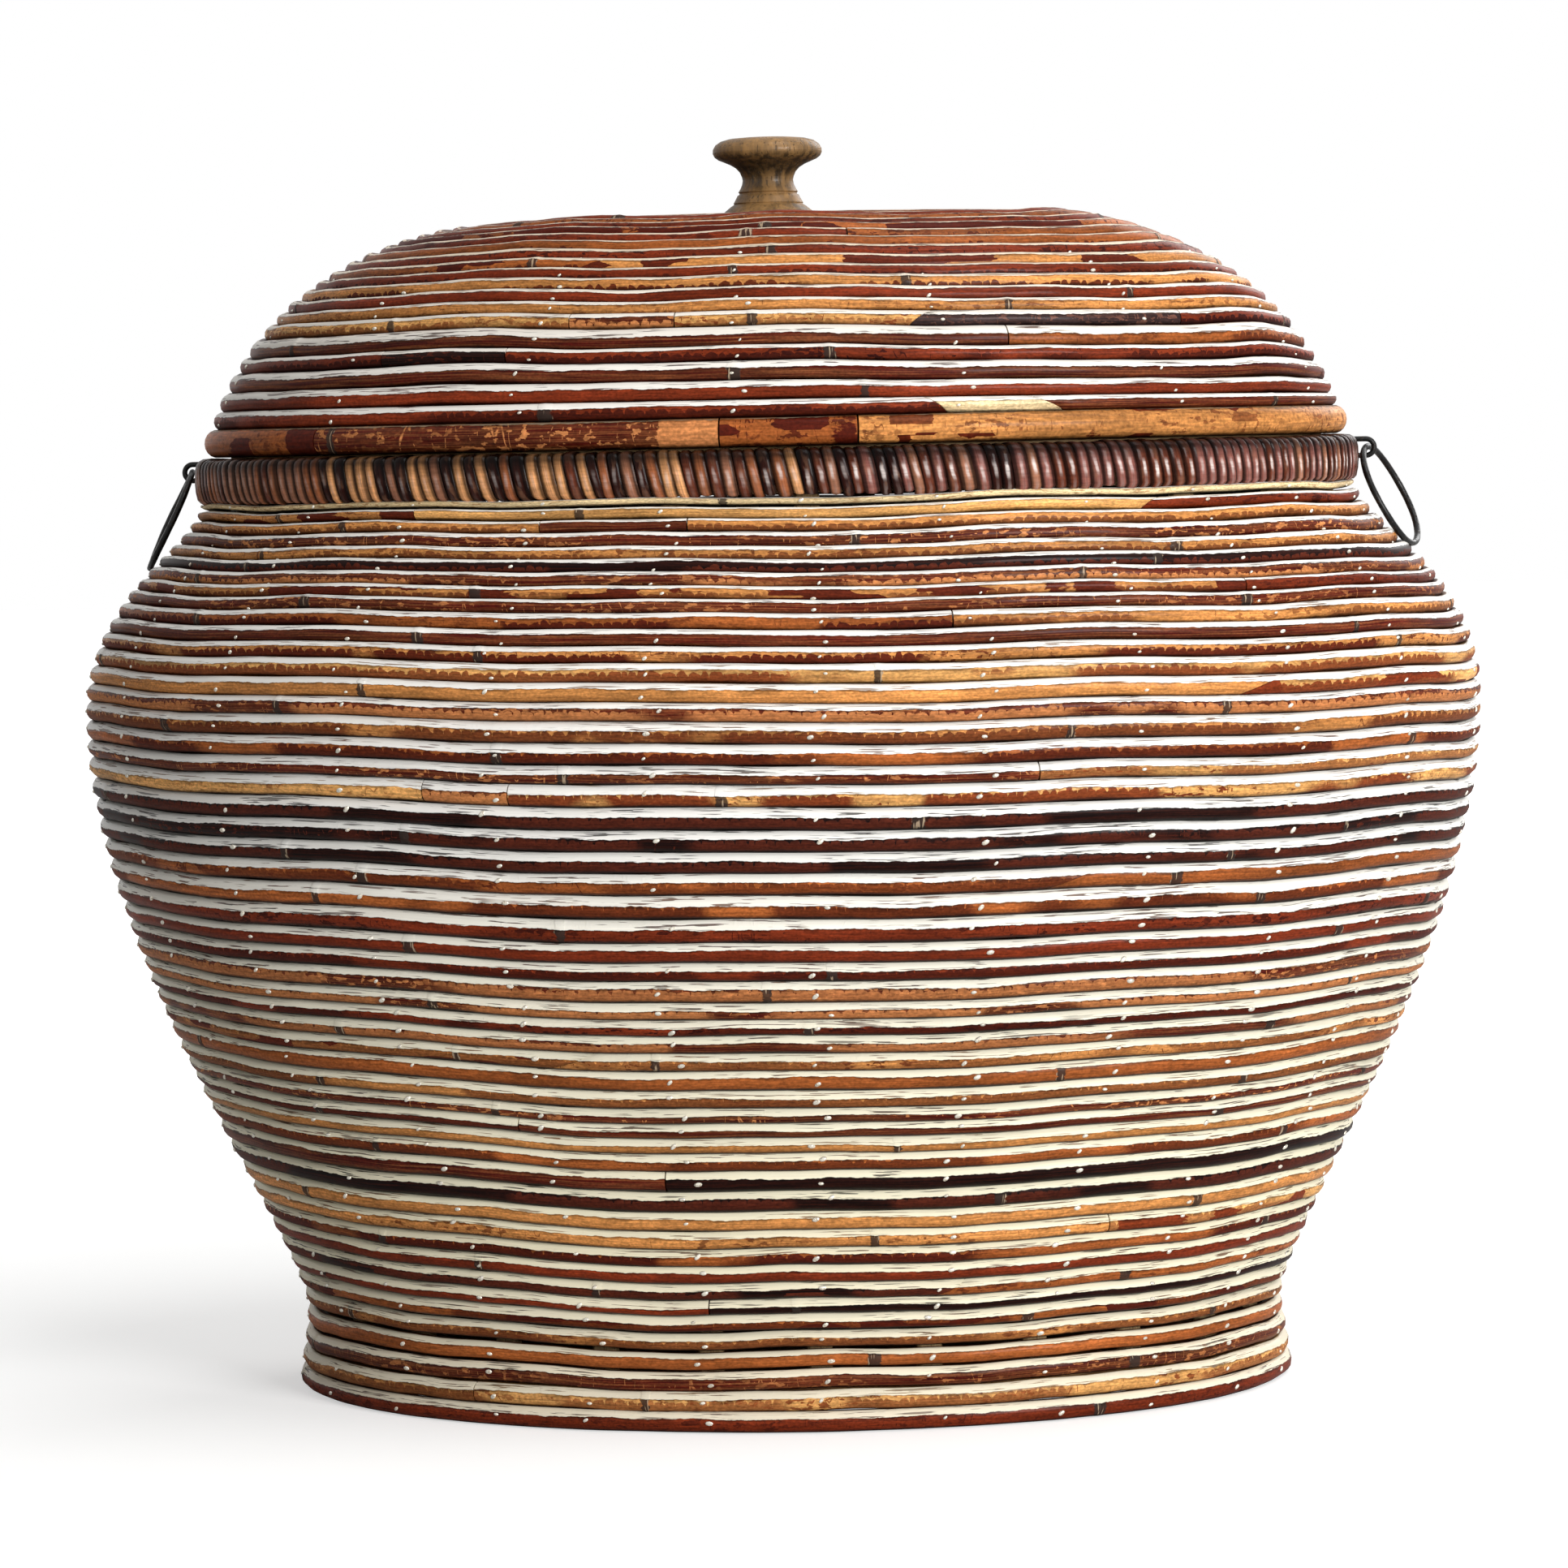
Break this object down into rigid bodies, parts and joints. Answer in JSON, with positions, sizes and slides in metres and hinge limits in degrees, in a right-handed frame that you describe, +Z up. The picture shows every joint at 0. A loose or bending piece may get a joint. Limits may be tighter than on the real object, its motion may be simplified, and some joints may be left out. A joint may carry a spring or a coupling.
{
  "type": "lidded basket",
  "caption": "Oval big-bellied basket of stacked round canes with a bound rim, a domed lift-off lid with a turned knob, and a swinging wire ring at each end.",
  "frame": {"origin": "on the floor under the middle of the foot", "axes": "+Z up, +X along the oval towards the right ring, +Y to the back"},
  "size_m": [0.4698, 0.329, 0.4173],
  "materials": {
    "round_cane": "whole round cane stained red-brown to tan, glossy varnish",
    "split_cane": "raw split cane, matt",
    "binding_cane": "flat binding cane, dark brown to tan, glossy varnish",
    "board_wood": "raw board, matt",
    "turned_wood": "turned hardwood, worn olive-brown, satin",
    "black_iron": "black iron wire, satin",
    "screw_steel": "plain steel"
  },
  "bodies": {
    "body": {"foot_courses": "round_cane", "lower_courses": "round_cane", "middle_courses": "round_cane", "belly_courses": "round_cane", "shoulder_courses": "round_cane", "bottom_board": "board_wood", "rim_hoop": "split_cane", "rim_binding": "binding_cane", "left_staple": "black_iron", "right_staple": "black_iron", "body_rib_01": "split_cane", "body_rib_02": "split_cane", "body_rib_03": "split_cane", "body_rib_04": "split_cane", "body_rib_05": "split_cane", "body_rib_06": "split_cane", "body_rib_07": "split_cane", "body_rib_08": "split_cane", "body_rib_09": "split_cane", "body_rib_10": "split_cane", "body_rib_11": "split_cane", "body_rib_12": "split_cane", "body_rib_13": "split_cane", "body_rib_14": "split_cane", "body_rib_15": "split_cane", "body_rib_16": "split_cane", "body_rib_17": "split_cane", "body_rib_18": "split_cane", "body_rib_19": "split_cane", "body_rib_20": "split_cane", "body_rib_21": "split_cane", "body_rib_22": "split_cane", "body_rib_23": "split_cane", "body_rib_24": "split_cane"},
    "lid": {"lid_edge_course": "round_cane", "lid_collar": "split_cane", "lid_side_courses": "round_cane", "lid_shoulder_courses": "round_cane", "lid_top_courses": "round_cane", "lid_crown_board": "board_wood", "knob": "turned_wood", "knob_washer": "screw_steel", "knob_screw": "screw_steel", "lid_rib_01": "split_cane", "lid_rib_02": "split_cane", "lid_rib_03": "split_cane", "lid_rib_04": "split_cane", "lid_rib_05": "split_cane", "lid_rib_06": "split_cane", "lid_rib_07": "split_cane", "lid_rib_08": "split_cane", "lid_rib_09": "split_cane", "lid_rib_10": "split_cane", "lid_rib_11": "split_cane", "lid_rib_12": "split_cane", "lid_rib_13": "split_cane", "lid_rib_14": "split_cane"},
    "left_ring": {"left_ring": "black_iron"},
    "right_ring": {"right_ring": "black_iron"}
  },
  "joints": [
    {"name": "lid_lift", "type": "slide", "parent": "body", "child": "lid", "axis": [0, 0, 1], "range_m": [0, 0.13]},
    {"name": "left_ring_swing", "type": "hinge", "parent": "body", "child": "left_ring", "pos_m": [-0.19795, 0, 0.3095], "axis": [0, 1, 0], "range_deg": [0, 149.75]},
    {"name": "right_ring_swing", "type": "hinge", "parent": "body", "child": "right_ring", "pos_m": [0.19795, 0, 0.3095], "axis": [0, -1, 0], "range_deg": [0, 149.75]}
  ]
}
